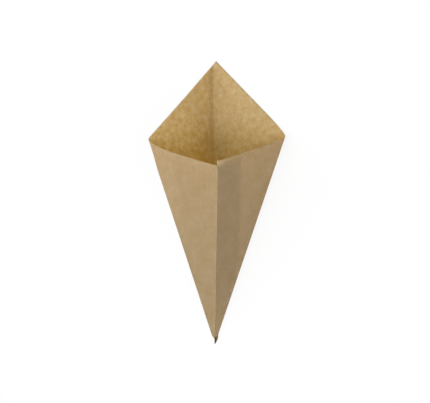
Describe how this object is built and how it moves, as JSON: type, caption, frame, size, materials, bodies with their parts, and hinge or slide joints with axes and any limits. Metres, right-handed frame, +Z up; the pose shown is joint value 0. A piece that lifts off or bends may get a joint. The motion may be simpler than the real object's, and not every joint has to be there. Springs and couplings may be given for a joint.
{
  "type": "french fry bag",
  "caption": "Pointed kraft paper bag for fries: a square sheet folded into a cone with flat panels, a tall back corner and a glued lap inside the front seam.",
  "frame": {"origin": "on the floor under the middle of the bag's box, with the bag lying on its back right panel", "axes": "+Z up from the floor, +Y along the bag from the tip to the mouth, +X towards the right bend"},
  "size_m": [0.0964, 0.261, 0.0788],
  "materials": {
    "kraft_paper": "brown machine-glazed kraft, uncoated and matte"
  },
  "bodies": {
    "root": {"paper_cone": "kraft_paper"}
  },
  "joints": []
}
